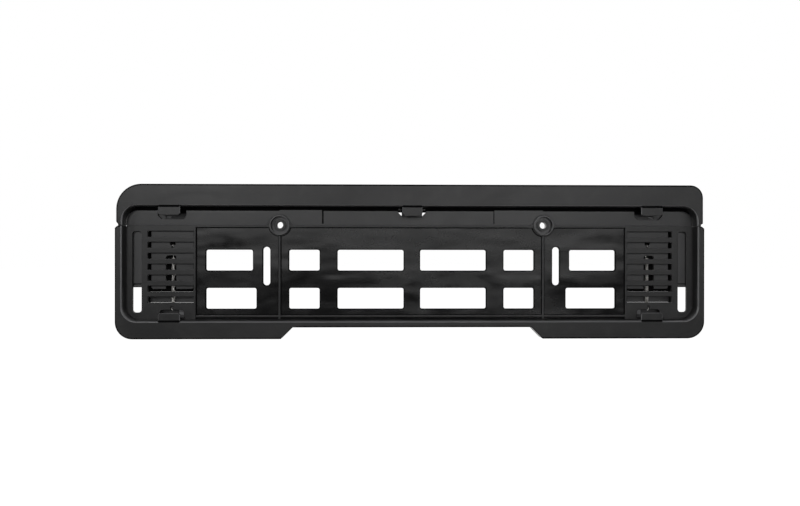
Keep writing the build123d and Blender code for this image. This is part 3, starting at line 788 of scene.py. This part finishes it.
def tension_spring(name, x, node_name, material):
    """Makes a tension spring with its upper hook on the frame's leg and its lower hook on the base."""
    bm = bmesh.new()
    front = SPRING_Y - COIL_RADIUS
    back = SPRING_Y + COIL_RADIUS
    start = Vector((x, front, COIL_LOW + WIRE_RADIUS))
    turn = Matrix.Translation(start) @ Matrix.Rotation(math.pi / 2, 4, "Y")
    bmesh.ops.create_circle(bm, segments=WIRE_SIDES, radius=WIRE_RADIUS, matrix=turn)
    first = list(bm.edges)
    pitch = (COIL_HIGH - COIL_LOW - 2 * WIRE_RADIUS) / COIL_TURNS
    axis_point = (x, SPRING_Y, 0.0)
    upward = (0.0, 0.0, 1.0)
    last = bend_wire(bm, first, axis_point, upward, 2 * math.pi, STEPS_PER_TURN, pitch)
    one_turn = list(bm.verts) + list(bm.edges) + list(bm.faces)
    for step in range(1, int(COIL_TURNS)):
        more = bmesh.ops.duplicate(bm, geom=one_turn)
        verts = [g for g in more["geom"] if isinstance(g, bmesh.types.BMVert)]
        bmesh.ops.translate(bm, verts=verts, vec=(0.0, 0.0, step * pitch))
    end_edges = [more["edge_map"][e] for e in last]
    top = bend_wire(bm, end_edges, axis_point, upward, math.pi, STEPS_PER_TURN // 2, pitch / 2)

    # Upper hook: up from the back of the coil, over the bridge and down at the front
    above = ring_middle(top) + Vector((0.0, 0.0, WIRE_BEND))
    top = bend_wire(bm, top, above, (0.0, 1.0, 0.0), math.pi / 2, BEND_STEPS)
    top = run_wire(bm, top, Vector((x, back, TOP_HOOK_Z)) - ring_middle(top))
    top = bend_wire(bm, top, (x, SPRING_Y, TOP_HOOK_Z), (1.0, 0.0, 0.0), math.pi, HOOK_STEPS)
    top = run_wire(bm, top, (0.0, 0.0, -HOOK_RETURN))
    bmesh.ops.contextual_create(bm, geom=top)

    # Lower hook: down from the front of the coil and forward round the edge of the deck
    below = start - Vector((0.0, 0.0, WIRE_BEND))
    low = bend_wire(bm, first, below, (0.0, 1.0, 0.0), math.pi / 2, BEND_STEPS)
    low = run_wire(bm, low, Vector((x, front, FOOT_HOOK_Z)) - ring_middle(low))
    low = bend_wire(bm, low, (x, front - FOOT_RADIUS, FOOT_HOOK_Z), (1.0, 0.0, 0.0), -math.pi, HOOK_STEPS)
    low = run_wire(bm, low, (0.0, 0.0, HOOK_RETURN))
    bmesh.ops.contextual_create(bm, geom=low)

    bmesh.ops.remove_doubles(bm, verts=bm.verts, dist=WIRE_MERGE)
    bmesh.ops.recalc_face_normals(bm, faces=bm.faces)
    if bm.calc_volume(signed=True) < 0.0:
        bmesh.ops.reverse_faces(bm, faces=bm.faces)
    for face in bm.faces:
        face.smooth = True
    piece = make_piece(bm, name, [material])
    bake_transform(piece)
    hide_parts(node_name)


# Studio: camera, floor, lamps and surroundings

def studio_camera():
    """Places the camera at the photograph's viewpoint."""
    data = bpy.data.cameras.new("camera")
    data.sensor_fit = "HORIZONTAL"
    data.sensor_width = SENSOR
    data.lens = FOCAL_PIXELS / IMAGE_WIDTH * SENSOR
    data.clip_start = NEAR_CLIP
    camera = bpy.data.objects.new("camera", data)
    camera.location = CAMERA_PLACE
    level = Matrix.Rotation(-CAMERA_TURN, 4, "Z") @ Matrix.Rotation(math.pi / 2, 4, "X")
    camera.rotation_euler = (level @ Matrix.Rotation(CAMERA_ROLL, 4, "Z")).to_euler()
    bpy.context.scene.collection.objects.link(camera)
    bpy.context.scene.camera = camera


def soft_lamp(name, place, target, width, height, power):
    """Hangs a soft rectangular lamp that looks at a point."""
    data = bpy.data.lights.new(name, "AREA")
    data.shape = "RECTANGLE"
    data.size = width
    data.size_y = height
    data.energy = power
    lamp = bpy.data.objects.new(name, data)
    lamp.location = place
    lamp.visible_camera = False
    lamp.rotation_mode = "QUATERNION"
    lamp.rotation_quaternion = (Vector(target) - Vector(place)).to_track_quat("-Z", "Y")
    bpy.context.scene.collection.objects.link(lamp)


def background_rays(tree):
    """Returns two masks: the rays of the camera and through clear things, and the mirrored rays."""
    path = add_node(tree, "ShaderNodeLightPath")
    seen = add_node(
        tree,
        "ShaderNodeMath",
        {0: path.outputs["Is Camera Ray"], 1: path.outputs["Is Transmission Ray"]},
        operation="MAXIMUM",
    )
    return seen.outputs[0], path.outputs["Is Glossy Ray"]


def surroundings():
    """White for the camera, and behind the part for reflections; a plain grey studio elsewhere."""
    world = bpy.data.worlds.new("studio")
    bpy.context.scene.world = world
    world.use_nodes = True
    tree = world.node_tree
    tree.nodes.clear()
    seen, glossy = background_rays(tree)
    direction = add_node(tree, "ShaderNodeTexCoord")
    parts = add_node(tree, "ShaderNodeSeparateXYZ", {0: direction.outputs["Generated"]})
    behind = add_node(
        tree,
        "ShaderNodeMapRange",
        {"Value": parts.outputs["Y"], "From Min": 0.0, "From Max": 0.5},
        interpolation_type="SMOOTHSTEP",
    )
    mirrored = add_node(
        tree, "ShaderNodeMath", {0: glossy, 1: behind.outputs["Result"]}, operation="MULTIPLY"
    )
    white = add_node(tree, "ShaderNodeMath", {0: seen, 1: mirrored.outputs[0]}, operation="MAXIMUM")
    strength = add_node(
        tree, "ShaderNodeMapRange", {"Value": white.outputs[0], "To Min": GREY_STUDIO, "To Max": 1.0}
    )
    sky = add_node(
        tree, "ShaderNodeBackground", {"Color": (1.0, 1.0, 1.0, 1.0), "Strength": strength.outputs["Result"]}
    )
    result = add_node(tree, "ShaderNodeOutputWorld")
    tree.links.new(sky.outputs[0], result.inputs["Surface"])


def pale_floor():
    """Lays a wide pale floor that reads as white and keeps the part's shadow."""
    bm = bmesh.new()
    bmesh.ops.create_grid(bm, x_segments=1, y_segments=1, size=FLOOR_HALF)
    bmesh.ops.translate(bm, verts=bm.verts, vec=(0.0, FLOOR_FRONT + FLOOR_HALF, FLOOR_Z))
    made = bpy.data.materials.new("pale_floor")
    made.use_nodes = True
    tree = made.node_tree
    tree.nodes.clear()
    seen, glossy = background_rays(tree)
    white = add_node(tree, "ShaderNodeMath", {0: seen, 1: glossy}, operation="MAXIMUM")
    spot = add_node(tree, "ShaderNodeTexCoord")
    away = add_node(tree, "ShaderNodeVectorMath", {0: spot.outputs["Object"]}, operation="LENGTH")
    fade = add_node(
        tree,
        "ShaderNodeMapRange",
        {"Value": away.outputs["Value"], "From Min": 0.8, "From Max": 1.6, "To Min": 0.93, "To Max": 1.0},
        interpolation_type="SMOOTHSTEP",
    )
    level = add_node(
        tree, "ShaderNodeMath", {0: white.outputs[0], 1: fade.outputs["Result"]}, operation="MULTIPLY"
    )
    paint = add_node(tree, "ShaderNodeBsdfDiffuse", {"Color": (0.8, 0.8, 0.8, 1.0)})
    glow = add_node(tree, "ShaderNodeEmission", {"Strength": level.outputs[0]})
    both = add_node(tree, "ShaderNodeAddShader", {0: paint.outputs[0], 1: glow.outputs[0]})
    result = add_node(tree, "ShaderNodeOutputMaterial")
    tree.links.new(both.outputs[0], result.inputs["Surface"])
    make_piece(bm, "floor", [made])


base_plastic = black_moulding("base_plastic", BASE_TONE, SATIN, 0.0)
frame_plastic = black_moulding("frame_plastic", FRAME_TONE, SATIN, FRAME_SHIFT)
shadow_plastic = painted_shadow_plastic()
wire = spring_wire()

rounded_moulding("base", "base_body", base_plastic, shadow_plastic)
rounded_moulding("top_frame", "frame_body", frame_plastic, shadow_plastic)
backing_plates(base_plastic)
tension_spring("left_coil", -SPRING_X, "left_spring", wire)
tension_spring("right_coil", SPRING_X, "right_spring", wire)

studio_camera()
pale_floor()
surroundings()
for lamp in LAMPS:
    soft_lamp(*lamp)
bpy.context.scene.view_settings.view_transform = "Standard"
